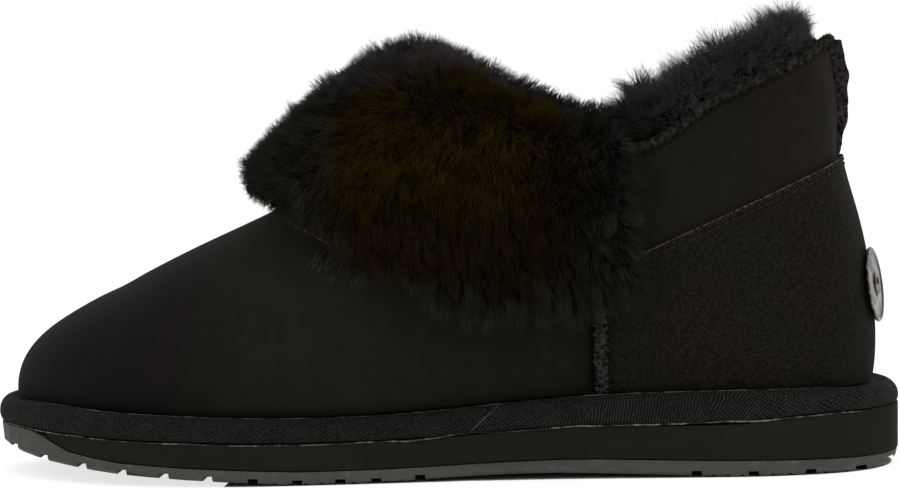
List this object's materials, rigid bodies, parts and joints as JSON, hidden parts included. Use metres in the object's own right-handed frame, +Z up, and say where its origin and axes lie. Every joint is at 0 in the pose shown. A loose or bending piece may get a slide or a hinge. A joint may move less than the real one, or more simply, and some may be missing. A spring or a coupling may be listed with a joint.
{
  "type": "slipper boot",
  "caption": "Ankle-high suede slipper boot for the left foot with a folded fleece cuff, a taped platform, a foam wedge and a notched rubber outsole.",
  "frame": {"origin": "on the floor, in the middle of the heel's flat tread, on the foot's centre line", "axes": "+X forward along the foot to the toe, +Y to the wearer's left, which is the outer side, +Z up out of the collar"},
  "size_m": [0.272, 0.1108, 0.138],
  "materials": {
    "rubber": "satin",
    "foam": "matte closed-cell foam",
    "tape": "woven",
    "footbed": "short fleece",
    "suede": "napped",
    "rough_suede": "coarse nap",
    "fleece": "long hair",
    "metal": "polished"
  },
  "bodies": {
    "root": {"outsole": "rubber", "midsole": "foam", "platform": "tape", "insole": "footbed", "upper": "suede", "heel_quarter": "rough_suede", "side_seam_outer": "suede", "side_seam_inner": "suede", "back_seam": "suede", "cuff": "fleece", "collar_fleece": "fleece", "heel_badge": "metal"}
  },
  "joints": []
}
